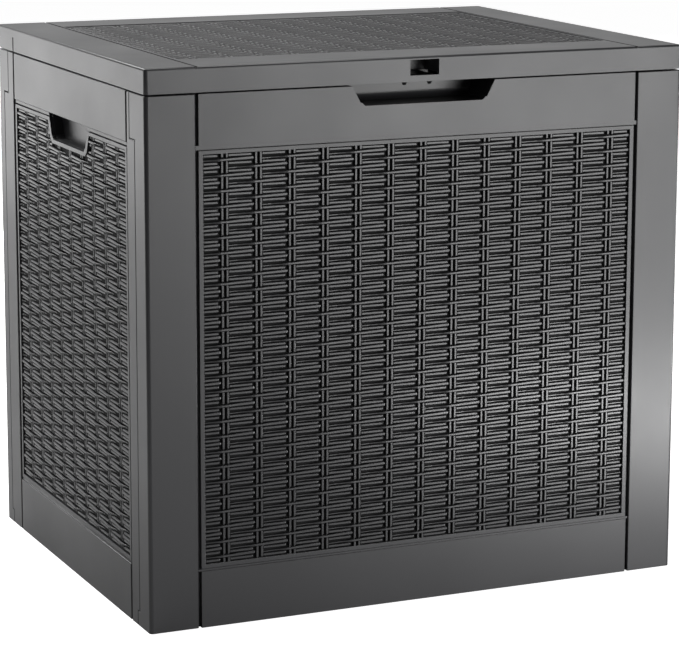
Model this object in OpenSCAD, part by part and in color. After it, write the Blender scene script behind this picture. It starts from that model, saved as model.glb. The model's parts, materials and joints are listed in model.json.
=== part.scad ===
// Deck storage box with woven-pattern panels, corner posts and a hinged lid.
// Origin: centre of the footprint on the ground. +X right, -Y front, +Z up. Millimetres.

/* [Overall] */
// Width over the corner posts, left to right
box_w = 565; // [470:1:680]
// Depth over the corner posts, front to back
box_d = 448; // [370:1:540]
// Height to the top of the lid
box_h = 536; // [440:1:650]

/* [Posts] */
// Width of a post on the front and back faces
post_w = 49.2; // [40:0.1:60]
// Width of a front post on the side face
post_side_front = 28; // [24:0.5:36]
// Width of a rear post on the side face
post_side_rear = 17.5; // [16:0.5:24]
// Extra width of every post's head on the side face
post_head_extra = 14; // [6:0.5:18]
// Height of the widened post head
post_head_h = 43; // [25:1:60]
// Extra width of every post's foot on the side face
post_foot_extra = 5; // [2:0.5:10]
// Height of the widened post foot
post_foot_h = 14; // [8:1:20]
// Radius of the outer vertical edges
edge_r = 3.5; // [2:0.5:4.5]

/* [Panels] */
// Thickness of the outer skin of posts and panels
skin_t = 5; // [4:0.5:6.5]
// Thickness of the panel's backing sheet
back_t = 3; // [2.5:0.5:4]
// Height of the plain band at the top of each panel
header_h = 48; // [40:0.5:60]
// Height of the plain band at the bottom of each panel
band_h = 55.5; // [45:0.5:70]
// Height of the stepped strip beside each plain band
strip_h = 4; // [2:0.5:6]
// How far the stepped strip lies behind the outer skin
strip_drop = 1.2; // [0.5:0.1:2]
// Width of the deep groove beside each woven insert
groove_w = 3.2; // [2:0.1:5]
// Width of a fine seam between two flush pieces
seam_w = 0.8; // [0.4:0.1:1.5]

/* [Weave] */
// Width of the frame round each woven insert
rim_w = 4.2; // [3:0.1:6]
// Spacing of the stake pairs on the front, back and lid
front_pitch = 34; // [28:0.1:42]
// Spacing of the stake pairs on the sides
side_pitch = 34.9; // [28:0.1:42]
// Radius of one upright stake
stake_r = 0.9; // [0.5:0.05:0.95]
// Distance between the two stakes of a pair, centre to centre
stake_gap = 4.8; // [4.4:0.1:7]

/* [Grips] */
// Width of the front finger recess at its mouth
finger_w = 151; // [110:1:190]
// Height of the front finger recess
finger_h = 19; // [14:0.5:26]
// Depth of the front finger recess
finger_d = 43.5; // [30:0.5:55]
// Width of a side grip at its top
grip_w = 121; // [90:1:150]
// Height of a side grip below the header
grip_h = 26; // [18:0.5:34]
// Depth of a side grip
grip_d = 14; // [12:0.5:22]
// How far a side grip reaches up behind the header
grip_up = 16; // [8:1:24]
// How much narrower each end of a grip is at its floor
grip_taper = 10.5; // [4:0.5:16]

/* [Lid] */
// Height of the lid's skirt
skirt_h = 24; // [19:0.1:30]
// Gap between the skirt and the body
lid_gap = 1.5; // [1:0.1:3]
// Thickness of the lid's walls
lid_t = 3; // [2.5:0.1:3.5]
// Plain border in front of the lid's woven insert
lid_front_border = 62; // [50:1:75]
// Plain border behind the lid's woven insert
lid_rear_border = 56; // [50:1:70]
// Width of the padlock window
window_w = 30.4; // [24:0.2:40]
// Height of the skirt's sill under the padlock window
sill_h = 6; // [4:0.5:8]

/* [Hinges] */
// Distance of each hinge from the box's centre line
hinge_x = 180; // [120:1:200]
// Length of the lid's knuckle
knuckle_l = 24; // [18:1:34]
// Thickness of a hinge ear
ear_t = 5; // [4:0.5:8]
// Radius of the hinge pin
pin_r = 2.5; // [2:0.1:2.8]
// Radial play of the hinge pin in its bores
pin_play = 0.05; // [0.02:0.01:0.08]

/* [Hidden] */
$fn = 48;

resin = [0.20, 0.20, 0.21];
resin_dark = [0.13, 0.13, 0.14];
steel = [0.55, 0.56, 0.58];

// Overall frame
half_w = box_w / 2;
half_d = box_d / 2;
body_top = box_h - skirt_h - lid_gap;
skirt_z = box_h - skirt_h;
over = 1;                       // how far a cut runs past the face it opens
fit = 0.3;                      // gap between pieces that slide together

// Posts and the panel tongues that slide into them
panel_t = skin_t + back_t;
lip_t = 2.5;
slot_t = back_t + fit;
tongue_front = 30;              // how far a front or back tongue reaches behind the post
tongue_side = 12;
web_t = 3;

// Panels
header_z = body_top - header_h;
inner_z0 = band_h + strip_h / 2;
inner_z1 = header_z - strip_h;
ledge_z = 14;                   // the height that the base tray rests at
ledge_t = 6;
ledge_d = 10;
floor_t = 4;
flange_t = 3;
flange_d = 12;
pocket_t = 2.5;
corner_free = 62;               // length at each corner left free of ledges and flanges

// Woven inserts
weave_back_t = 1;               // sheet behind the strands
weave_out = 0.8;                // how far the insert's frame lies behind the skin
insert_fit = 0.2;

// Lid
lid_edge_r = 2.5;
ridge_w = 2.4;                  // groove across the lid in line with the body's grooves
ridge_d = 1.6;
top_under = box_h - lid_t;
inner_t = 2.5;
inner_top = top_under - 3.3;
inner_z = inner_top - inner_t;
wall_in = skirt_h / 2 + 19;     // depth of the inner panel's rim; the hinge axis moves in with the skirt's height
wall_low = skirt_z + sill_h + 2;
inner_margin = 12;
rest_pad_r = 4.5;
rest_gap = 0.4;
lock_wall_t = 2.2;
lock_wall_end = 19.5;

// Hinges: the axis stands skirt_h / 2 above the body so that the lid's rear edge rolls past it
hinge_rise = skirt_h / 2;
hinge_in = hinge_rise - 1.2;
axis_y = half_d - hinge_in;
rest_back_y = axis_y + 10.8 - panel_t - flange_d / 2;    // the rear pads keep their distance from the axis
axis_z = body_top + hinge_rise;
knuckle_r = hinge_rise - 5.5;
ear_r = knuckle_r + 0.4;
roll_r = hinge_rise - 0.35;
ear_gap = 0.4;
hinge_l = knuckle_l + 2 * (ear_gap + ear_t);
plate_t = 2.5;
hinge_cut = hinge_l + 6;
leaf_d = 24;
leaf_t = 2;
screw_r = 1.8;
head_r = 3.4;
head_t = 1.4;
boss_h = 18;

// Lock staple
arm_t = 3;
arm_x = window_w / 2 - arm_t - 0.4;
bar_r = 2.4;
bar_in = 17.5;                  // depth of the bar behind the front face
bar_z = skirt_z + 3;
arm_top = bar_z + bar_r;
arm_low = skirt_z + 1;
tip_drop = 6;
tip_half = 5.8;
staple_plate_t = 3;

// A box given by its lowest and its highest corner
module block(low, high) translate(low) cube(high - low);

// Runs its children about the X axis so that a YZ outline becomes a solid from x0 to x1
module along_x(x0, x1) translate([x0, 0, 0]) rotate([90, 0, 90]) linear_extrude(x1 - x0) children();

// An XZ outline made solid from y0 to y1
module along_y(y0, y1) translate([0, y1, 0]) rotate([90, 0, 0]) linear_extrude(y1 - y0) children();

module rounded_rect(size, r) {
    square([size[0] - 2 * r, size[1]], center = true);
    square([size[0], size[1] - 2 * r], center = true);
    for (sx = [-1, 1], sy = [-1, 1])
        translate([sx * (size[0] / 2 - r), sy * (size[1] / 2 - r)]) circle(r);
}

// Mouth of a grip: wide at the top, tapered to its floor, corners cut round
module grip_outline(width, z_low, z_high, taper, corner) {
    difference() {
        polygon([
            [-width / 2, z_high], [-width / 2 + taper, z_low],
            [width / 2 - taper, z_low], [width / 2, z_high]
        ]);
        for (s = [-1, 1]) translate([s * (width / 2 - taper), z_low]) difference() {
            square(corner * 1.2, center = true);
            translate([-s * corner, corner]) circle(corner * 1.02);
        }
    }
}

// ---------------------------------------------------------------- posts

// One corner post: outer corner at the origin, front face along +X, side face along +Y
module post(side_w) {
    difference() {
        union() {
            block([0, 0, 0], [post_w, skin_t, body_top]);
            block([0, 0, 0], [skin_t, side_w, body_top]);
            block([0, 0, body_top - post_head_h], [skin_t, side_w + post_head_extra, body_top]);
            block([0, 0, 0], [skin_t, side_w + post_foot_extra, post_foot_h]);
            post_slots(side_w);
        }
        difference() {
            block([-over, -over, -over], [edge_r, edge_r, body_top + over]);
            translate([edge_r, edge_r, -2 * over]) cylinder(r = edge_r, h = body_top + 4 * over);
        }
    }
}

// The two channels inside a post that hold the panels' tongues
module post_slots(side_w) {
    lip_in = skin_t + slot_t;
    front_web = post_w - tongue_front - web_t;
    side_web = side_w - tongue_side - web_t;
    block([front_web, skin_t, 0], [front_web + web_t, lip_in + lip_t, body_top]);
    block([front_web, lip_in, 0], [post_w - 4, lip_in + lip_t, body_top]);
    block([skin_t, side_web, 0], [lip_in + lip_t, side_web + web_t, body_top]);
    block([lip_in, side_web, 0], [lip_in + lip_t, side_w - 2, body_top]);
}

module post_front_left() color(resin) translate([-half_w, -half_d, 0]) post(post_side_front);
module post_front_right() color(resin) mirror([1, 0, 0]) translate([-half_w, -half_d, 0]) post(post_side_front);
module post_rear_left() color(resin) mirror([0, 1, 0]) translate([-half_w, -half_d, 0]) post(post_side_rear);
module post_rear_right() color(resin) mirror([1, 0, 0]) mirror([0, 1, 0])
    translate([-half_w, -half_d, 0]) post(post_side_rear);

// ---------------------------------------------------------------- front and back panels

// Half-widths on the front and back faces
panel_half = half_w - post_w - groove_w;
tongue_half = half_w - post_w + tongue_front - fit;
insert_half = panel_half - insert_fit;
bridge_half = half_w - post_w - fit;
front_ledge_half = half_w - corner_free;

// A front or back panel in face coordinates: X along the face, Y into the box, Z up
module wide_panel() {
    block([-tongue_half, skin_t, 0], [tongue_half, panel_t, body_top]);
    block([-panel_half, 0, 0], [panel_half, skin_t, band_h]);
    block([-panel_half, 0, header_z], [panel_half, skin_t, body_top]);
    block([-bridge_half, strip_drop, band_h], [bridge_half, skin_t, inner_z0]);
    block([-bridge_half, strip_drop, inner_z1], [bridge_half, skin_t, header_z]);
    block([-front_ledge_half, panel_t, ledge_z - ledge_t], [front_ledge_half, panel_t + ledge_d, ledge_z]);
    block([-front_ledge_half, panel_t, body_top - flange_t], [front_ledge_half, panel_t + flange_d, body_top]);
}

finger_z = body_top - finger_h;
finger_corner = 5;
finger_fillet = 7;
staple_tab_half = 24;
staple_top = arm_top + 0.6;

module front_panel() color(resin) translate([0, -half_d, 0]) {
    difference() {
        union() {
            wide_panel();
            along_y(skin_t, finger_d + pocket_t)
                grip_outline(finger_w + 2 * pocket_t, finger_z - pocket_t, body_top, grip_taper, finger_corner);
            block([-staple_tab_half, finger_d, finger_z], [staple_tab_half, finger_d + pocket_t, staple_top]);
        }
        difference() {
            along_y(-over, finger_d)
                grip_outline(finger_w, finger_z, body_top + over, grip_taper, finger_corner);
            along_x(-finger_w, finger_w) difference() {
                translate([finger_d - finger_fillet, finger_z - over]) square(finger_fillet + over);
                translate([finger_d - finger_fillet, finger_z + finger_fillet]) circle(finger_fillet);
            }
        }
    }
}

module back_panel() color(resin) mirror([0, 1, 0]) translate([0, -half_d, 0]) {
    difference() {
        union() {
            wide_panel();
            for (s = [-1, 1])
                block([s * hinge_x - hinge_l / 2, panel_t, body_top - boss_h],
                      [s * hinge_x + hinge_l / 2, panel_t + flange_d, body_top]);
        }
        for (s = [-1, 1], t = [-1, 1])
            translate([s * hinge_x + t * knuckle_l / 4, hinge_in, body_top - boss_h + 4])
                cylinder(r = screw_r, h = boss_h);
    }
}

// ---------------------------------------------------------------- side panels

side_front = post_side_front + seam_w;
side_rear = box_d - post_side_rear - seam_w;
groove_front = post_w + groove_w;
groove_rear = box_d - post_w - groove_w;
insert_front = groove_front + insert_fit;
insert_rear = groove_rear - insert_fit;
grip_low = header_z - grip_h;
grip_corner = 6;
cup_fit = 0.2;
cup_flange_w = 4;
cup_flange_t = 1.5;
cup_half = grip_w / 2 + pocket_t;
cup_z0 = grip_low - pocket_t;
cup_z1 = header_z + grip_up + pocket_t;

// The left panel: X into the box from the outer face, Y from the front, Z up
module side_panel() {
    difference() {
        union() {
            block([skin_t, side_front - tongue_side, 0], [panel_t, side_rear + tongue_side, body_top]);
            block([0, side_front, 0], [skin_t, side_rear, body_top]);
            block([panel_t, corner_free, ledge_z - ledge_t],
                  [panel_t + ledge_d, box_d - corner_free, ledge_z]);
            block([panel_t, corner_free, body_top - flange_t],
                  [panel_t + flange_d, box_d - corner_free, body_top]);
        }
        // room for the widened heads and feet of the posts
        block([-over, 0, body_top - post_head_h - seam_w],
              [skin_t, side_front + post_head_extra, body_top + over]);
        block([-over, side_rear - post_head_extra, body_top - post_head_h - seam_w],
              [skin_t, box_d, body_top + over]);
        block([-over, 0, -over], [skin_t, side_front + post_foot_extra, post_foot_h + seam_w]);
        block([-over, side_rear - post_foot_extra, -over], [skin_t, box_d, post_foot_h + seam_w]);
        // seat of the woven insert, the deep grooves and the stepped strips
        block([-over, groove_front, inner_z0], [skin_t, groove_rear, inner_z1]);
        for (y = [groove_front - groove_w, groove_rear])
            block([-over, y, -over], [skin_t, y + groove_w, body_top + over]);
        block([-over, groove_front - groove_w, band_h], [strip_drop, groove_rear + groove_w, inner_z0]);
        block([-over, groove_front - groove_w, inner_z1], [strip_drop, groove_rear + groove_w, header_z]);
        // grip opening, and the seat of the cup behind it
        translate([0, half_d, 0]) along_x(-over, skin_t + over)
            grip_outline(grip_w, grip_low, header_z, grip_taper, grip_corner);
        block([skin_t, half_d - cup_half - cup_fit, cup_z0 - cup_fit],
              [panel_t + over, half_d + cup_half + cup_fit, cup_z1 + cup_fit]);
    }
}

// A grip cup: open below the header, reaching up behind it, with a flange clipped behind the panel
module grip_cup() {
    flange_x = panel_t + cup_fit;
    difference() {
        union() {
            block([skin_t, half_d - cup_half, cup_z0], [grip_d + pocket_t, half_d + cup_half, cup_z1]);
            block([flange_x, half_d - cup_half - cup_flange_w, cup_z0 - cup_flange_w],
                  [flange_x + cup_flange_t, half_d + cup_half + cup_flange_w, cup_z1 + cup_flange_w]);
        }
        translate([0, half_d, 0]) along_x(skin_t - over, grip_d)
            grip_outline(grip_w, grip_low, header_z, grip_taper, grip_corner);
        block([skin_t - over, half_d - grip_w / 2, header_z - over],
              [grip_d, half_d + grip_w / 2, header_z + grip_up]);
    }
}

module left_panel() color(resin) translate([-half_w, -half_d, 0]) side_panel();
module right_panel() color(resin) mirror([1, 0, 0]) translate([-half_w, -half_d, 0]) side_panel();
module left_grip_cup() color(resin) translate([-half_w, -half_d, 0]) grip_cup();
module right_grip_cup() color(resin) mirror([1, 0, 0]) translate([-half_w, -half_d, 0]) grip_cup();

// ---------------------------------------------------------------- woven inserts

// Flat insert in face coordinates: a backing sheet, a frame and the pairs of upright stakes
module insert(half_x, z0, z1, pitch, back_y) {
    n = floor((2 * half_x - 2 * rim_w) / pitch);
    difference() {
        block([-half_x, weave_out, z0], [half_x, back_y, z1]);
        block([-half_x + rim_w, -over, z0 + rim_w], [half_x - rim_w, back_y - weave_back_t, z1 - rim_w]);
    }
    for (i = [0 : n - 1], s = [-1, 1])
        translate([(i - (n - 1) / 2) * pitch + s * stake_gap / 2, back_y - weave_back_t, z0 + rim_w / 2])
            cylinder(r = stake_r, h = z1 - z0 - rim_w, $fn = 24);
}

module wide_weave() insert(insert_half, inner_z0 + insert_fit, inner_z1 - insert_fit, front_pitch, skin_t);

module front_weave() color(resin_dark) translate([0, -half_d, 0]) wide_weave();
module back_weave() color(resin_dark) mirror([0, 1, 0]) translate([0, -half_d, 0]) wide_weave();

// A side insert's frame dips round the grip
module side_weave() {
    translate([0, half_d, 0]) rotate([0, 0, -90]) difference() {
        union() {
            insert((insert_rear - insert_front) / 2, inner_z0 + insert_fit, inner_z1 - insert_fit,
                   side_pitch, skin_t);
            along_y(weave_out, skin_t)
                grip_outline(grip_w + 2 * rim_w, grip_low - rim_w, inner_z1 - insert_fit,
                             grip_taper, grip_corner);
        }
        along_y(-over, skin_t + over)
            grip_outline(grip_w + 2 * insert_fit, grip_low - insert_fit, header_z, grip_taper, grip_corner);
    }
}

module left_weave() color(resin_dark) translate([-half_w, -half_d, 0]) side_weave();
module right_weave() color(resin_dark) mirror([1, 0, 0]) translate([-half_w, -half_d, 0]) side_weave();

// ---------------------------------------------------------------- base tray

tray_half_w = half_w - panel_t - fit;
tray_half_d = half_d - panel_t - fit;
tray_inset = slot_t + lip_t - back_t;   // step in that clears the posts' channels
tray_rib_w = 3;
tray_rib_low = 5;
tray_rib_clear = 4;
tray_ribs = 4;

module base_tray() color(resin) {
    rib_half_w = tray_half_w - ledge_d - tray_rib_clear;
    rib_half_d = tray_half_d - ledge_d - tray_rib_clear;
    mid_half_w = half_w - post_w;
    mid_half_d = half_d - post_side_front - fit;
    floor_z = ledge_z + floor_t;
    block([-mid_half_w, -tray_half_d, ledge_z], [mid_half_w, tray_half_d, floor_z]);
    block([-tray_half_w, -mid_half_d, ledge_z], [tray_half_w, mid_half_d, floor_z]);
    block([-tray_half_w + tray_inset, -tray_half_d + tray_inset, ledge_z],
          [tray_half_w - tray_inset, tray_half_d - tray_inset, floor_z]);
    for (i = [-tray_ribs : tray_ribs]) translate([i * (rib_half_w - tray_rib_w / 2) / tray_ribs, 0, 0])
        block([-tray_rib_w / 2, -rib_half_d, tray_rib_low], [tray_rib_w / 2, rib_half_d, ledge_z + over]);
    for (s = [-1, 0, 1]) translate([0, s * (rib_half_d - tray_rib_w / 2), 0])
        block([-rib_half_w, -tray_rib_w / 2, tray_rib_low], [rib_half_w, tray_rib_w / 2, ledge_z + over]);
}

// ---------------------------------------------------------------- lock staple

module lock_staple() color(resin_dark) translate([0, -half_d, 0]) {
    plate_in = finger_d - staple_plate_t;
    block([-arm_x - arm_t, plate_in, arm_low - 4], [arm_x + arm_t, finger_d, staple_top]);
    for (s = [-1, 1]) translate([s * (arm_x + arm_t / 2), 0, 0]) along_x(-arm_t / 2, arm_t / 2)
        polygon([
            [plate_in + over, arm_low], [bar_in + tip_half, arm_low], [bar_in, arm_low - tip_drop],
            [bar_in - tip_half, arm_low], [bar_in - tip_half, arm_top], [plate_in + over, arm_top]
        ]);
    translate([-arm_x - over, bar_in, bar_z]) rotate([0, 90, 0]) cylinder(r = bar_r, h = 2 * (arm_x + over));
}

// ---------------------------------------------------------------- lid

lid_insert_half = half_w - post_w - groove_w - 1.5;
lid_insert_y0 = -half_d + lid_front_border;
lid_insert_y1 = half_d - lid_rear_border;
lid_ledge_w = 6;
lid_ledge_t = 1.5;
lid_seat_z = top_under - 1.5;   // underside of the lid's woven insert

// Outer body of the lid with its vertical and upper edges rounded
module lid_outer(r, z0) intersection() {
    translate([0, 0, z0]) linear_extrude(box_h - z0) rounded_rect([box_w, box_d], edge_r);
    translate([0, 0, box_h]) along_y(-half_d, half_d) translate([0, -r]) {
        translate([-half_w, -box_h]) square([box_w, box_h]);
        translate([-half_w + r, -over]) square([box_w - 2 * r, r + over]);
        for (s = [-1, 1]) translate([s * (half_w - r), 0]) circle(r);
    }
    translate([0, 0, box_h]) along_x(-half_w, half_w) translate([0, -r]) {
        translate([-half_d, -box_h]) square([box_d, box_h]);
        translate([-half_d + r, -over]) square([box_d - 2 * r, r + over]);
        for (s = [-1, 1]) translate([s * (half_d - r), 0]) circle(r);
    }
}

module lid_shell() color(resin) {
    difference() {
        union() {
            difference() {
                lid_outer(lid_edge_r, skirt_z);
                block([-half_w + lid_t, -half_d + lid_t, skirt_z - over],
                      [half_w - lid_t, half_d - lid_t, top_under]);
            }
            // ledge that carries the woven insert
            block([-lid_insert_half - lid_ledge_t, lid_insert_y0 - lid_ledge_t, lid_seat_z - lid_ledge_t],
                  [lid_insert_half + lid_ledge_t, lid_insert_y1 + lid_ledge_t, top_under + over]);
            // walls of the padlock window's pocket
            for (s = [-1, 1]) translate([s * (window_w + lock_wall_t) / 2, 0, 0])
                block([-lock_wall_t / 2, -half_d + lid_t - over, wall_low],
                      [lock_wall_t / 2, -half_d + lock_wall_end, top_under + over]);
        }
        block([-lid_insert_half, lid_insert_y0, lid_seat_z],
              [lid_insert_half, lid_insert_y1, box_h + over]);
        block([-lid_insert_half + lid_ledge_w, lid_insert_y0 + lid_ledge_w, lid_seat_z - lid_ledge_t - over],
              [lid_insert_half - lid_ledge_w, lid_insert_y1 - lid_ledge_w, box_h + over]);
        // grooves across the lid in line with the body's deep grooves
        for (s = [-1, 1]) translate([s * (half_w - post_w - groove_w / 2), 0, 0])
            block([-ridge_w / 2, -half_d - over, box_h - ridge_d], [ridge_w / 2, half_d + over, box_h + over]);
        // slits in the side skirts and the padlock window in the front skirt
        block([-half_w - over, half_d - post_w - groove_w, skirt_z - over],
              [half_w + over, half_d - post_w, skirt_z + skirt_h * 0.6]);
        block([-window_w / 2, -half_d - over, skirt_z + sill_h],
              [window_w / 2, -half_d + lid_t + over, top_under]);
        // rear lower edge cut back to an arc about the hinge axis
        difference() {
            block([-half_w - over, axis_y, skirt_z - over], [half_w + over, half_d + over, axis_z]);
            along_x(-half_w - 2 * over, half_w + 2 * over) translate([axis_y, axis_z]) circle(roll_r);
        }
        // gaps in the rear skirt for the hinges
        for (s = [-1, 1])
            block([s * hinge_x - hinge_cut / 2, half_d - lid_t - over, skirt_z - over],
                  [s * hinge_x + hinge_cut / 2, half_d + over, top_under]);
        // pilot holes of the hinge screws
        for (s = [-1, 1], t = [-1, 1])
            translate([s * hinge_x + t * knuckle_l / 3, axis_y - leaf_d + 6, top_under - over])
                cylinder(r = screw_r, h = over + lid_t - 1);
    }
}

// The lid's insert is the same frame laid flat: its face up and its rows running back
module lid_weave() color(resin_dark) {
    half_y = (lid_insert_y1 - lid_insert_y0) / 2 - insert_fit;
    translate([0, (lid_insert_y0 + lid_insert_y1) / 2, box_h]) rotate([-90, 0, 0])
        insert(lid_insert_half - insert_fit, -half_y, half_y, front_pitch, box_h - lid_seat_z);
}

// Inner panel: a flat sheet with a rim, cross ribs and four pads that rest on the body
module lid_inner_panel() color(resin) {
    w = half_w - inner_margin;
    d = half_d - inner_margin;
    rim_x = half_w - wall_in;
    rim_y = half_d - wall_in;
    rib_t = 2;
    rib_low = inner_z - 5;
    difference() {
        union() {
            block([-w, -d, inner_z], [w, d, inner_top]);
            difference() {
                block([-rim_x, -rim_y, wall_low], [rim_x, rim_y, inner_z + over]);
                block([-rim_x + inner_t, -rim_y + inner_t, wall_low - over],
                      [rim_x - inner_t, rim_y - inner_t, inner_z + 2 * over]);
            }
            for (i = [-2 : 2]) translate([i * rim_x / 3, 0, 0])
                block([-rib_t / 2, -rim_y + over, rib_low], [rib_t / 2, rim_y - over, inner_z + over]);
            for (i = [-1 : 1]) translate([0, i * rim_y / 2, 0])
                block([-rim_x + over, -rib_t / 2, rib_low], [rim_x - over, rib_t / 2, inner_z + over]);
            for (sx = [-1, 1], pad_y = [-(half_d - panel_t - flange_d / 2), rest_back_y])
                translate([sx * (half_w - corner_free - 8), pad_y, body_top + rest_gap])
                    cylinder(r = rest_pad_r, h = inner_z + over - body_top - rest_gap);
            for (s = [-1, 1]) translate([s * (window_w + lock_wall_t) / 2, 0, 0])
                block([-lock_wall_t / 2, -half_d + lock_wall_end + insert_fit, wall_low],
                      [lock_wall_t / 2, -rim_y + over, inner_z + over]);
        }
        // room for the padlock pocket and for the hinges
        block([-window_w / 2, -d - over, inner_z - over], [window_w / 2, -rim_y, inner_top + over]);
        block([-window_w / 2 - lock_wall_t - fit, -d - over, inner_z - over],
              [window_w / 2 + lock_wall_t + fit, -half_d + lock_wall_end + insert_fit, inner_top + over]);
        for (s = [-1, 1])
            block([s * hinge_x - hinge_cut / 2, axis_y - leaf_d - 1, wall_low - over],
                  [s * hinge_x + hinge_cut / 2, d + over, inner_top + over]);
    }
}

// ---------------------------------------------------------------- hinges

// Both halves of a hinge are drawn with the axis along X through the origin
module body_hinge() difference() {
    union() {
        block([-hinge_l / 2, -hinge_in + flange_d / 2 - 4, -hinge_rise], [hinge_l / 2, ear_r, -hinge_rise + plate_t]);
        for (s = [-1, 1]) translate([s * (hinge_l - ear_t) / 2, 0, 0]) {
            along_x(-ear_t / 2, ear_t / 2) circle(ear_r);
            block([-ear_t / 2, -ear_r, -hinge_rise], [ear_t / 2, ear_r, 0]);
        }
    }
    along_x(-hinge_l, hinge_l) circle(pin_r + pin_play);
    for (t = [-1, 1]) translate([t * knuckle_l / 4, 0, -hinge_rise - over])
        cylinder(r = screw_r, h = plate_t + 2 * over);
}

module lid_hinge() difference() {
    web_top = top_under - axis_z;
    union() {
        along_x(-knuckle_l / 2, knuckle_l / 2) circle(knuckle_r);
        block([-knuckle_l / 2, -knuckle_r, 0], [knuckle_l / 2, knuckle_r, web_top]);
        block([-knuckle_l / 2, -leaf_d, web_top - leaf_t], [knuckle_l / 2, 0, web_top]);
    }
    along_x(-knuckle_l, knuckle_l) circle(pin_r + pin_play);
    for (t = [-1, 1]) translate([t * knuckle_l / 3, -leaf_d + 6, web_top - leaf_t - over])
        cylinder(r = screw_r, h = leaf_t + 2 * over);
}

module hinge_pin() {
    along_x(-hinge_l / 2, hinge_l / 2 + 0.6) circle(pin_r);
    along_x(-hinge_l / 2 - 1.6, -hinge_l / 2) circle(pin_r + 1.4);
}

module at_hinge(side) translate([side * hinge_x, axis_y, axis_z]) children();

module body_hinge_left() color(resin_dark) at_hinge(-1) body_hinge();
module body_hinge_right() color(resin_dark) at_hinge(1) body_hinge();
module lid_hinge_left() color(resin_dark) at_hinge(-1) lid_hinge();
module lid_hinge_right() color(resin_dark) at_hinge(1) lid_hinge();
module hinge_pin_left() color(steel) at_hinge(-1) hinge_pin();
module hinge_pin_right() color(steel) at_hinge(1) hinge_pin();

// A pan-head screw pointing along -Z with its head standing on z = 0
module screw(length) {
    cylinder(r = head_r, h = head_t);
    translate([0, 0, -length]) cylinder(r = screw_r, h = length);
}

module body_hinge_screws() color(steel)
    for (s = [-1, 1], t = [-1, 1])
        translate([s * hinge_x + t * knuckle_l / 4, axis_y, body_top + plate_t]) screw(plate_t + 12);

module lid_hinge_screws() color(steel)
    for (s = [-1, 1], t = [-1, 1])
        translate([s * hinge_x + t * knuckle_l / 3, axis_y - leaf_d + 6, top_under - leaf_t])
            mirror([0, 0, 1]) screw(leaf_t + lid_t - 1.2);

base_tray();
front_panel();
back_panel();
left_panel();
right_panel();
left_grip_cup();
right_grip_cup();
front_weave();
back_weave();
left_weave();
right_weave();
post_front_left();
post_front_right();
post_rear_left();
post_rear_right();
lock_staple();
lid_shell();
lid_weave();
lid_inner_panel();
body_hinge_left();
body_hinge_right();
lid_hinge_left();
lid_hinge_right();
hinge_pin_left();
hinge_pin_right();
body_hinge_screws();
lid_hinge_screws();
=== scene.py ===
import json
import math

import bmesh
import bpy
from mathutils import Matrix, Vector


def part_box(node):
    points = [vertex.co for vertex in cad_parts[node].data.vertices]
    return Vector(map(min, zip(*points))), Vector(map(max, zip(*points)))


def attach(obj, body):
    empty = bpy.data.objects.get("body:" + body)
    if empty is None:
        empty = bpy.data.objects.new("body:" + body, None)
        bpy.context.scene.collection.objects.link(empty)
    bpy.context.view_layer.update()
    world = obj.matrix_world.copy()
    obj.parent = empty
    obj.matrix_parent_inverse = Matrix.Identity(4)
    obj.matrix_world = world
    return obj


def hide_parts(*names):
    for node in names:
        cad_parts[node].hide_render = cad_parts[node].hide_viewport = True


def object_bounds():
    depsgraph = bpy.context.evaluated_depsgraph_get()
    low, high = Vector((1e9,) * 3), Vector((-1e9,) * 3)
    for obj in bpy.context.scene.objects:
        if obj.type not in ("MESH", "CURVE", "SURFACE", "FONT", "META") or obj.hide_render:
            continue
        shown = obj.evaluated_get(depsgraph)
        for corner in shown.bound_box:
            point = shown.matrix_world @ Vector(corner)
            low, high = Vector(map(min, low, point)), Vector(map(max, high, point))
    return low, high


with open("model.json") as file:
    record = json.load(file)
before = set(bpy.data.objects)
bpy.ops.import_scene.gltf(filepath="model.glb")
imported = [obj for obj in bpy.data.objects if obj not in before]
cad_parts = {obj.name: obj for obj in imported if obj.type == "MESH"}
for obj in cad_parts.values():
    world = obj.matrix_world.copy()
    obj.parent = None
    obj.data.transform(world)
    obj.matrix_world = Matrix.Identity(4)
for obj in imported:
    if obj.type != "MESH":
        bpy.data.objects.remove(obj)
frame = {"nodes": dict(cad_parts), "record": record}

CAD_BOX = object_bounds()
BASE, TOP = CAD_BOX
MM = 0.001

# The woven pattern: where its rows and rod pairs stand
ROW_PITCH = 14.63 * MM            # one full repeat up a column of crossings
FRONT_PITCH = 34.0 * MM           # spacing of the rod pairs on the front, back and lid
SIDE_PITCH = 34.9 * MM            # spacing of the rod pairs on the sides
FIRST_ROW = 5.6 * MM              # first crossing below the frame's upper edge
RIM = 4.2 * MM                    # width of the frame round each insert

# Upright rods, in pairs
ROD_APART = 2.4 * MM              # from a pair's centre to each of its rods
ROD_R = 1.45 * MM
ROD_DEPTH = 2.3 * MM              # a rod's middle behind the outer skin
ROD_LENGTH = 10.6 * MM            # the part of a rod seen between two crossings
ROD_DIP = 1.4 * MM                # how far a rod's ends sink under the strands
ROD_TIP = 0.8 * MM

# Long strands cross over one rod pair and sink towards the pair on their left
LONG_R = 1.75 * MM                # radius at the right end
CREST_R = 1.3 * MM                # radius over the rods
THINNING = 0.55 * MM              # taken off that radius towards the sunk end
LONG_DEPTH = 1.0 * MM             # a strand's middle behind the outer skin where it crosses
LONG_DROP = 0.4 * MM              # how much deeper the right end lies
LONG_SINK = 2.3 * MM              # how much deeper the left end lies
LONG_TIP = 1.1 * MM
LEAN = 0.028                      # how much a long strand climbs along its length
LONG_LOW = 0.35 * MM              # a crossing's middle below the row's line

# Short strands lie between two rod pairs
SHORT_R = 1.5 * MM
SHORT_DEPTH = 1.95 * MM

# The strands' section
STRAND_SIDES = 6
STRAND_FLATNESS = 0.5             # a strand's thickness over its height
CROWN = -0.93                     # faces turned further out than this stay flat, the rest are rounded

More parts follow.
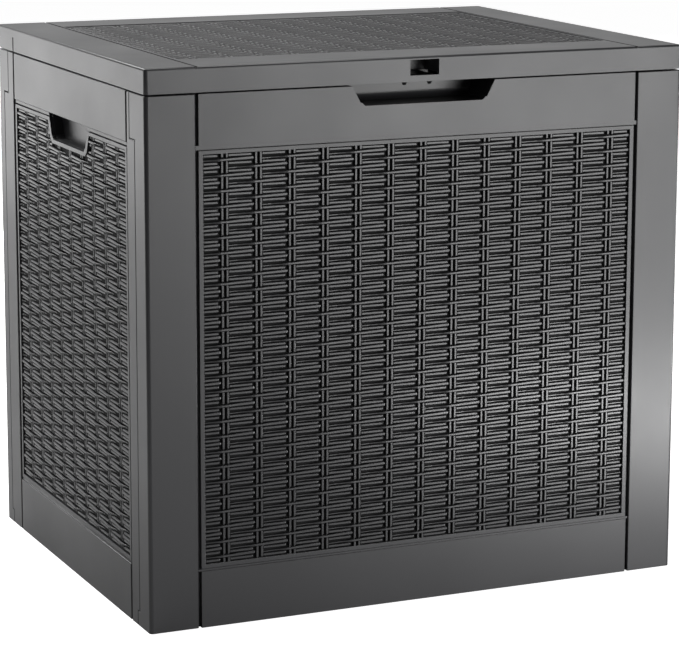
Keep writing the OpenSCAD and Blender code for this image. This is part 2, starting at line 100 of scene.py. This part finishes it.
# How high the weave stands on the sides and on the lid, against the front
SIDE_RELIEF = 1.6
LID_RELIEF = 0.5

# Reading the pieces' shapes
FLAT_WIDTH = 4.0 * MM             # a face with no side narrower than this is shaded flat
CORNER = math.radians(35)         # an edge that turns more than this is rounded
LEVEL = math.radians(0.5)         # faces that turn less than this are one face
EDGE = 0.6 * MM                   # rounding of the panels' edges
SMALL_EDGE = 0.4 * MM             # of the hinges' and the staple's
FRAME_EDGE = 0.3 * MM             # of the inserts' frames
SKIN = 3.4 * MM                   # anything flat deeper than this inside an insert is its backing sheet, which is painted near-black as shade


# ------------------------------------------------------------------ camera

CAMERA_LENS = 148.0
CAMERA_SHIFT = -0.06
CAMERA_PLACE = (-1.1436, -2.6055, 0.8264)
CAMERA_TURN = (79.100, -0.289, -24.699)      # degrees about X, Y and Z


def make_camera():
    data = bpy.data.cameras.new("camera")
    data.lens = CAMERA_LENS
    data.sensor_width = 36.0
    data.shift_x = CAMERA_SHIFT
    data.shift_y = CAMERA_SHIFT
    data.clip_end = 100.0
    camera = bpy.data.objects.new("camera", data)
    camera.location = CAMERA_PLACE
    camera.rotation_euler = tuple(math.radians(angle) for angle in CAMERA_TURN)
    bpy.context.scene.collection.objects.link(camera)
    bpy.context.scene.camera = camera


make_camera()


# ------------------------------------------------------------------ materials

def node_material(name):
    material = bpy.data.materials.new(name)
    material.use_nodes = True
    tree = material.node_tree
    return material, tree, tree.nodes["Principled BSDF"]


def noise(tree, coords, scale, detail=2.0, roughness=0.5):
    texture = tree.nodes.new("ShaderNodeTexNoise")
    texture.inputs["Scale"].default_value = scale
    texture.inputs["Detail"].default_value = detail
    texture.inputs["Roughness"].default_value = roughness
    tree.links.new(coords, texture.inputs["Vector"])
    return texture.outputs["Fac"]


def remap(tree, value, low, high, to_low, to_high):
    node = tree.nodes.new("ShaderNodeMapRange")
    for socket, number in (("From Min", low), ("From Max", high), ("To Min", to_low), ("To Max", to_high)):
        node.inputs[socket].default_value = number
    tree.links.new(value, node.inputs["Value"])
    return node.outputs["Result"]


def bump(tree, height, strength, distance, under=None):
    node = tree.nodes.new("ShaderNodeBump")
    node.inputs["Strength"].default_value = strength
    node.inputs["Distance"].default_value = distance
    tree.links.new(height, node.inputs["Height"])
    if under:
        tree.links.new(under, node.inputs["Normal"])
    return node.outputs["Normal"]


def blend_colours(tree, factor, first, second):
    node = tree.nodes.new("ShaderNodeMix")
    node.data_type = "RGBA"
    node.inputs["A"].default_value = (*first, 1.0)
    node.inputs["B"].default_value = (*second, 1.0)
    tree.links.new(factor, node.inputs["Factor"])
    return node.outputs["Result"]


def moulded_resin(name, dark, light, gloss_low, gloss_high, grain_depth, specular=0.5):
    """Satin moulded resin: fine spark-eroded grain, faint flow marks and a slightly uneven sheen."""
    material, tree, shader = node_material(name)
    coords = tree.nodes.new("ShaderNodeTexCoord").outputs["Object"]
    cloud = noise(tree, coords, 9.0, 4.0)
    grain = noise(tree, coords, 1500.0, 2.0, 0.6)
    ripple = noise(tree, coords, 26.0, 1.0)
    tree.links.new(blend_colours(tree, remap(tree, cloud, 0.3, 0.7, 0.0, 1.0), dark, light),
                   shader.inputs["Base Color"])
    tree.links.new(remap(tree, cloud, 0.3, 0.7, gloss_high, gloss_low), shader.inputs["Roughness"])
    broad = bump(tree, ripple, 0.12, 0.4 * MM)
    tree.links.new(bump(tree, grain, 0.35, grain_depth, broad), shader.inputs["Normal"])
    shader.inputs["IOR"].default_value = 1.49
    shader.inputs["Specular IOR Level"].default_value = specular
    return material


def zinc_steel():
    material, tree, shader = node_material("zinc_plated_steel")
    coords = tree.nodes.new("ShaderNodeTexCoord").outputs["Object"]
    patch = noise(tree, coords, 260.0, 3.0)
    colour = blend_colours(tree, patch, (0.42, 0.43, 0.45), (0.62, 0.63, 0.64))
    tree.links.new(colour, shader.inputs["Base Color"])
    tree.links.new(remap(tree, patch, 0.3, 0.7, 0.28, 0.46), shader.inputs["Roughness"])
    tree.links.new(bump(tree, patch, 0.2, 0.05 * MM), shader.inputs["Normal"])
    shader.inputs["Metallic"].default_value = 1.0
    return material


PANEL = moulded_resin("satin_resin", (0.026, 0.026, 0.028), (0.032, 0.032, 0.034), 0.31, 0.37, 0.03 * MM)
WOVEN = moulded_resin("strand_resin", (0.020, 0.020, 0.021), (0.026, 0.026, 0.028), 0.28, 0.36, 0.02 * MM,
                      specular=0.6)
# The lid's strands are the strand resin painted about twice as light, as painted light for the top, with a
# stronger sheen.
LID_STRANDS_PAINTED_LIGHT = moulded_resin("lid_strand_painted_light", (0.040, 0.040, 0.042), (0.048, 0.048, 0.050), 0.30, 0.38,
                          0.02 * MM, specular=1.0)
# The backing sheet is the same resin painted near-black: painted shade for the deep gaps between the strands.
GAP_SHADE_RESIN = moulded_resin("backing_painted_shade", (0.002, 0.002, 0.002), (0.003, 0.003, 0.003), 0.65, 0.75, 0.04 * MM,
                        specular=0.15)
HINGE = moulded_resin("hinge_resin", (0.008, 0.008, 0.009), (0.012, 0.012, 0.013), 0.32, 0.42, 0.03 * MM)
STEEL = zinc_steel()


# ------------------------------------------------------------------ pieces from the frame

BODY_OF = {node: body for body, nodes in frame["record"]["behaviour"]["bodies"].items() for node in nodes}


def finish_piece(name, bm, material, body):
    mesh = bpy.data.meshes.new(name)
    bm.to_mesh(mesh)
    bm.free()
    mesh.materials.append(material)
    piece = bpy.data.objects.new(name, mesh)
    bpy.context.scene.collection.objects.link(piece)
    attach(piece, body)
    return piece


def narrow_width(face):
    longest = max(edge.calc_length() for edge in face.edges)
    return face.calc_area() / longest


def rounded_copy(node, material, edge, name=None):
    """The node's own shape with its sharp edges rounded by the given radius."""
    bm = bmesh.new()
    bm.from_mesh(frame["nodes"][node].data)
    bmesh.ops.remove_doubles(bm, verts=bm.verts, dist=0.002 * MM)
    bmesh.ops.dissolve_limit(bm, angle_limit=LEVEL, verts=bm.verts, edges=bm.edges)
    sharp = [one for one in bm.edges if one.is_manifold and one.calc_face_angle() > CORNER]
    for face in bm.faces:
        curved = any(one.is_manifold and LEVEL < one.calc_face_angle() < CORNER for one in face.edges)
        face.smooth = curved and narrow_width(face) < FLAT_WIDTH
    made = bmesh.ops.bevel(bm, geom=sharp, offset=edge, offset_type="OFFSET", segments=2, profile=0.5,
                           affect="EDGES", material=-1, clamp_overlap=True)
    for face in made["faces"]:
        face.smooth = True
    piece = finish_piece(name or node + "_moulding", bm, material, BODY_OF[node])
    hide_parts(node)
    return piece


# ------------------------------------------------------------------ woven strands

# A strand or rod runs through stations: how far along it, how deep behind the skin, how high, and its radius
def ring(bm, along, depth, height, radius):
    made = bmesh.ops.create_circle(bm, cap_ends=False, segments=STRAND_SIDES, radius=radius)
    turn = Matrix.Rotation(math.radians(90), 4, "Y") @ Matrix.Rotation(math.radians(30), 4, "Z")
    squeeze = Matrix.Diagonal((1, STRAND_FLATNESS, 1, 1))
    place = Matrix.Translation((along, depth, height)) @ squeeze @ turn
    bmesh.ops.transform(bm, matrix=place, verts=made["verts"])
    return {edge for vert in made["verts"] for edge in vert.link_edges}


def strand_mesh(stations):
    """A rounded strand through its stations, closed at both ends."""
    bm = bmesh.new()
    loops = [ring(bm, *station) for station in stations]
    for first, second in zip(loops, loops[1:]):
        bmesh.ops.bridge_loops(bm, edges=list(first | second))
    bmesh.ops.holes_fill(bm, edges=list(loops[0] | loops[-1]))
    bmesh.ops.recalc_face_normals(bm, faces=bm.faces)
    for face in bm.faces:
        face.smooth = abs(face.normal.x) < 0.5 and face.normal.y > CROWN
    mesh = bpy.data.meshes.new("strand")
    bm.to_mesh(mesh)
    bm.free()
    return mesh


def ease(share):
    share = min(1.0, max(0.0, share))
    return share * share * (3 - 2 * share)


def long_depth(reach, gap):
    """Depth of a long strand's middle at a distance from the pair it crosses; gap is half a cell."""
    if reach < 0:
        return LONG_DEPTH + LONG_SINK * ease((-reach - 3.5 * MM) / (16 * MM))
    return LONG_DEPTH + LONG_DROP * ease(reach / gap)


def long_radius(reach, gap):
    if reach < 0:
        return CREST_R - THINNING * ease((-reach - 3 * MM) / (14 * MM))
    return CREST_R + (LONG_R - CREST_R) * ease(reach / gap)


def long_stations(start, end, pair, gap):
    """Where each station stands along the strand, and its share of the full radius."""
    full = [start, pair - 21 * MM, pair - 13 * MM, pair - 10 * MM, pair - 7.5 * MM, pair - 4.5 * MM,
            pair + 3 * MM, pair + 0.6 * gap, end - 2 * LONG_TIP, end - LONG_TIP]
    places = [(place, 1) for place in full] + [(end - 0.3 * LONG_TIP, 0.78), (end, 0.4)]
    kept = sorted((place, share) for place, share in places if start <= place <= end)
    return [(place, long_depth(place - pair, gap), LEAN * (place - pair) - LONG_LOW,
             long_radius(place - pair, gap) * share) for place, share in kept]


def short_stations(start, end):
    places = ((start, 2.4 * MM, 0.6), (start + 0.6 * MM, 2.0 * MM, 1), (start + 1.2 * MM, SHORT_DEPTH, 1),
              (end - 1.7 * MM, SHORT_DEPTH, 1), (end - 1.0 * MM, SHORT_DEPTH, 1),
              (end - 0.3 * MM, 2.1 * MM, 0.78), (end, 2.2 * MM, 0.4))
    return [(place, depth, 0.0, SHORT_R * share) for place, depth, share in places]


def rod_stations(low, high):
    """An upright rod between two crossings, with both ends dipping under the strands."""
    sunk = ROD_DEPTH + ROD_DIP
    thin = 0.8 * ROD_R
    straight = [(place, ROD_DEPTH, 0, ROD_R) for place in (low, low + ROD_TIP, high - ROD_TIP, high)]
    return [(low - ROD_TIP, sunk, 0, thin), *straight, (high + ROD_TIP, sunk, 0, thin)]


class Field:
    """The open area of one woven insert in face coordinates: along, into and up."""

    def __init__(self, half, low, high, pitch, dip=None):
        self.half, self.low, self.high, self.pitch, self.dip = half, low, high, pitch, dip
        count = int(2 * half / pitch)
        self.pairs = [(i - (count - 1) / 2) * pitch for i in range(count)]

    def spans(self, start, end, height):
        """The parts of a strand's run that the frame leaves free at a height."""
        start, end = max(start, -self.half), min(end, self.half)
        if not self.dip or height < self.dip["low"] - 1.2 * LONG_R:
            return [(start, end)]
        climb = (height - self.dip["low"]) / (self.dip["high"] - self.dip["low"])
        edge = self.dip["floor_half"] + max(0.0, climb) * (self.dip["mouth_half"] - self.dip["floor_half"])
        return [(a, b) for a, b in ((start, min(end, -edge)), (max(start, edge), end)) if b - a > 4 * MM]

    def top_at(self, along):
        """How high an upright rod can reach."""
        if not self.dip or abs(along) > self.dip["mouth_half"]:
            return self.high
        slope = (self.dip["high"] - self.dip["low"]) / (self.dip["mouth_half"] - self.dip["floor_half"])
        return self.dip["low"] + max(0.0, abs(along) - self.dip["floor_half"]) * slope


def lay(bm, stations, height):
    mesh = strand_mesh(stations)
    mesh.transform(Matrix.Translation((0, 0, height)))
    bm.from_mesh(mesh)
    bpy.data.meshes.remove(mesh)


def lay_row(bm, template, height):
    template.transform(Matrix.Translation((0, 0, height)))
    bm.from_mesh(template)
    template.transform(Matrix.Translation((0, 0, -height)))


def rows(field, offset):
    height = field.high - FIRST_ROW - offset
    while height > field.low + 1.1 * LONG_R:
        yield height
        height -= ROW_PITCH


def lay_strands(bm, field, start, end, offset, stations):
    template = strand_mesh(stations(start, end))
    for height in rows(field, offset):
        if height > field.high - 1.1 * LONG_R:
            continue
        free = field.spans(start, end, height)
        if free == [(start, end)]:
            lay_row(bm, template, height)
        else:
            for a, b in free:
                lay(bm, stations(a, b), height)
    bpy.data.meshes.remove(template)


def lay_rods(bm, field, pair, offset):
    """The two rods of a pair, seen between each crossing and the next."""
    upright = Matrix.Rotation(math.radians(-90), 4, "Y")
    for side in (-1, 1):
        along = pair + side * ROD_APART
        top = field.top_at(along)
        height = field.high - FIRST_ROW - offset + ROW_PITCH / 2
        while height > field.low - ROD_LENGTH / 2:
            low = max(height - ROD_LENGTH / 2, field.low - 1 * MM)
            high = min(height + ROD_LENGTH / 2, top + 1 * MM)
            if high - low > 2.5 * MM:
                mesh = strand_mesh(rod_stations(low, high))
                mesh.transform(Matrix.Translation((along, 0, 0)) @ upright)
                bm.from_mesh(mesh)
                bpy.data.meshes.remove(mesh)
            height -= ROW_PITCH


def strands(name, field, place, body, material=WOVEN):
    """All the strands and rods of one insert as a single piece."""
    bm = bmesh.new()
    half_cell = field.pitch / 2
    pairs = [field.pairs[0] - field.pitch, *field.pairs, field.pairs[-1] + field.pitch]
    for i, pair in enumerate(pairs):
        offset = 0.0 if i % 2 else ROW_PITCH / 2
        start = max(pair - field.pitch + 4.3 * MM, -field.half)
        end = min(pair + field.pitch - 5.2 * MM, field.half - 1.0 * MM)
        lay_strands(bm, field, start, end, offset, lambda a, b: long_stations(a, b, pair, half_cell))
        if 0 < i < len(pairs) - 1:
            lay_rods(bm, field, pair, offset)
    for left, right in zip(pairs, pairs[1:]):
        start = max(left + 3.1 * MM, -field.half)
        end = min(right - 6.8 * MM, field.half - 2.6 * MM)
        for offset in (-ROW_PITCH / 4, ROW_PITCH / 4):
            lay_strands(bm, field, start, end, offset, short_stations)
    bmesh.ops.transform(bm, matrix=place, verts=bm.verts)
    if place.determinant() < 0:
        bmesh.ops.reverse_faces(bm, faces=bm.faces)
    return finish_piece(name, bm, material, body)


# Each face's place: along +X, into +Y, up +Z in face coordinates. The sides' weave is the front's mirrored.
QUARTER = math.radians(90)
FRONT_PLACE = Matrix.Translation((0, BASE.y, 0))
BACK_PLACE = Matrix.Rotation(2 * QUARTER, 4, "Z") @ Matrix.Translation((0, -TOP.y, 0))
SIDE_PLACE = Matrix.Translation((0, BASE.x, 0)) @ Matrix.Diagonal((-1, SIDE_RELIEF, 1, 1))
LEFT_PLACE = Matrix.Rotation(-QUARTER, 4, "Z") @ SIDE_PLACE
RIGHT_PLACE = Matrix.Rotation(QUARTER, 4, "Z") @ SIDE_PLACE


def wide_field():
    low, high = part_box("front_weave")
    return Field(high.x - RIM, low.z + RIM, high.z - RIM, FRONT_PITCH)


def side_field():
    low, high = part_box("left_weave")
    return Field(high.y - RIM, low.z + RIM, high.z - RIM, SIDE_PITCH, GRIP_DIP)


def lid_field():
    low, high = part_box("lid_weave")
    middle = (low.y + high.y) / 2
    place = (Matrix.Translation((0, middle, TOP.z)) @ Matrix.Rotation(-QUARTER, 4, "X")
             @ Matrix.Diagonal((1, LID_RELIEF, 1, 1)))
    half = (high.y - low.y) / 2 - RIM
    return Field(high.x - RIM, -half, half, FRONT_PITCH), place


# The dip in each side insert's frame, measured down from the insert's top
SIDE_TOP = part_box("left_weave")[1].z
GRIP_DIP = {"low": SIDE_TOP - 26.2 * MM, "high": SIDE_TOP, "floor_half": 54.5 * MM, "mouth_half": 64.5 * MM}

strands("front_strands", wide_field(), FRONT_PLACE, "root")
strands("back_strands", wide_field(), BACK_PLACE, "root")
strands("left_strands", side_field(), LEFT_PLACE, "root")
strands("right_strands", side_field(), RIGHT_PLACE, "root")
LID_FIELD, LID_PLACE = lid_field()
# The lid's strands take the lighter copy of the resin: painted light on the top.
strands("lid_strands", LID_FIELD, LID_PLACE, "lid", LID_STRANDS_PAINTED_LIGHT)

# The dark gap at an insert's upper and lower edge is widened by this much
JOINT_LINE = {"high": 0.8 * MM, "low": 0.3 * MM}


def trim(piece, axis, distance):
    """Take a thin slice off a piece's end and close the cut."""
    bm = bmesh.new()
    bm.from_mesh(piece.data)
    low = min(vert.co[axis] for vert in bm.verts)
    high = max(vert.co[axis] for vert in bm.verts)
    for end, side in ((high - distance["high"], 1), (low + distance["low"], -1)):
        point, normal = [0, 0, 0], [0, 0, 0]
        point[axis], normal[axis] = end, side
        made = bmesh.ops.bisect_plane(bm, geom=bm.verts[:] + bm.edges[:] + bm.faces[:], dist=0.0001 * MM,
                                      plane_co=point, plane_no=normal, clear_outer=True)
        cut = [one for one in made["geom_cut"] if isinstance(one, bmesh.types.BMEdge)]
        bmesh.ops.holes_fill(bm, edges=cut)
    bmesh.ops.recalc_face_normals(bm, faces=bm.faces)
    bm.to_mesh(piece.data)
    bm.free()


for woven, outward, face in (("front_weave", (0, -1, 0), BASE.y), ("back_weave", (0, 1, 0), TOP.y),
                             ("left_weave", (-1, 0, 0), BASE.x), ("right_weave", (1, 0, 0), TOP.x),
                             ("lid_weave", (0, 0, 1), TOP.z)):
    piece = rounded_copy(woven, PANEL, FRAME_EDGE, woven + "_frame")
    if woven != "lid_weave":      # the lid's own insert keeps its size
        trim(piece, 2, JOINT_LINE)
    # The backing sheet deep inside each insert gets the near-black painted shade.
    piece.data.materials.append(GAP_SHADE_RESIN)
    away = Vector(outward)
    outside = abs(face)
    for polygon in piece.data.polygons:
        if outside - polygon.center.dot(away) > SKIN and abs(polygon.normal.dot(away)) > 0.9:
            polygon.material_index = 1
for shell in ("front_panel", "back_panel", "left_panel", "right_panel", "post_front_left", "post_front_right",
              "post_rear_left", "post_rear_right", "left_grip_cup", "right_grip_cup", "lid_shell",
              "lid_inner_panel", "base_tray"):
    rounded_copy(shell, PANEL, EDGE)
for small in ("lock_staple", "body_hinge_left", "body_hinge_right", "lid_hinge_left", "lid_hinge_right"):
    rounded_copy(small, HINGE, SMALL_EDGE)
for fastener in ("hinge_pin_left", "hinge_pin_right", "body_hinge_screws", "lid_hinge_screws"):
    frame["nodes"][fastener].data.materials.clear()
    frame["nodes"][fastener].data.materials.append(STEEL)


# ------------------------------------------------------------------ studio

def make_floor():
    """A pale floor that looks white without throwing much light back at the box."""
    bm = bmesh.new()
    bmesh.ops.create_grid(bm, x_segments=1, y_segments=1, size=14.0)
    bmesh.ops.translate(bm, vec=(0, 0, BASE.z - 0.05 * MM), verts=bm.verts)
    mesh = bpy.data.meshes.new("floor")
    bm.to_mesh(mesh)
    bm.free()
    material, tree, shader = node_material("pale_floor")
    shader.inputs["Base Color"].default_value = (0.5, 0.5, 0.5, 1)
    shader.inputs["Roughness"].default_value = 0.9
    shader.inputs["Specular IOR Level"].default_value = 0.1
    shader.inputs["Emission Color"].default_value = (1, 1, 1, 1)
    seen = tree.nodes.new("ShaderNodeLightPath").outputs["Is Camera Ray"]
    tree.links.new(remap(tree, seen, 0.0, 1.0, 0.02, 0.92), shader.inputs["Emission Strength"])
    mesh.materials.append(material)
    floor = bpy.data.objects.new("floor", mesh)
    bpy.context.scene.collection.objects.link(floor)


def area_light(name, location, target, size, power):
    data = bpy.data.lights.new(name, "AREA")
    data.shape = "RECTANGLE"
    data.size, data.size_y = size
    data.energy = power
    light = bpy.data.objects.new(name, data)
    light.location = location
    light.rotation_euler = (Vector(target) - Vector(location)).to_track_quat("-Z", "Y").to_euler()
    light.visible_camera = False
    bpy.context.scene.collection.objects.link(light)


AMBIENT = 0.11                    # even fill from all round; the backdrop itself stays white


def make_world():
    """A white backdrop that lights the box only faintly."""
    world = bpy.data.worlds.new("studio")
    bpy.context.scene.world = world
    world.use_nodes = True
    tree = world.node_tree
    background = tree.nodes["Background"]
    background.inputs["Color"].default_value = (1, 1, 1, 1)
    seen = tree.nodes.new("ShaderNodeLightPath").outputs["Is Camera Ray"]
    strength = remap(tree, seen, 0.0, 1.0, AMBIENT, 1.0)
    tree.links.new(strength, background.inputs["Strength"])


make_floor()
make_world()
area_light("front_softbox", (1.45, -2.65, 0.45), (0.1, -0.2, 0.3), (1.7, 1.0), 45)
area_light("low_card", (0.75, -1.0, 0.08), (0.2, -0.22, 0.08), (1.0, 0.16), 1.5)
area_light("near_card", (0.6, -0.62, 0.04), (0.3, -0.22, 0.06), (0.7, 0.06), 3.2)
area_light("left_softbox", (-1.25, 2.2, 0.27), (-0.28, 0.0, 0.35), (1.5, 0.5), 6.2)
area_light("left_floor_light", (-0.85, 0.95, 1.4), (-0.85, 0.95, 0.0), (0.9, 0.9), 30)
area_light("rear_card", (1.6, 4.5, 1.7), (0, 0, 0.6), (8.0, 3.0), 38)
area_light("back_softbox", (0.0, 2.0, 0.27), (0.0, 0.22, 0.27), (0.5, 0.45), 16)
area_light("right_softbox", (2.0, 0.0, 0.27), (0.28, 0.0, 0.27), (0.4, 0.45), 16)
area_light("overhead", (0.1, 0.2, 2.6), (0.1, 0.2, 0.0), (1.4, 1.4), 34)
bpy.context.scene.view_settings.view_transform = "Standard"
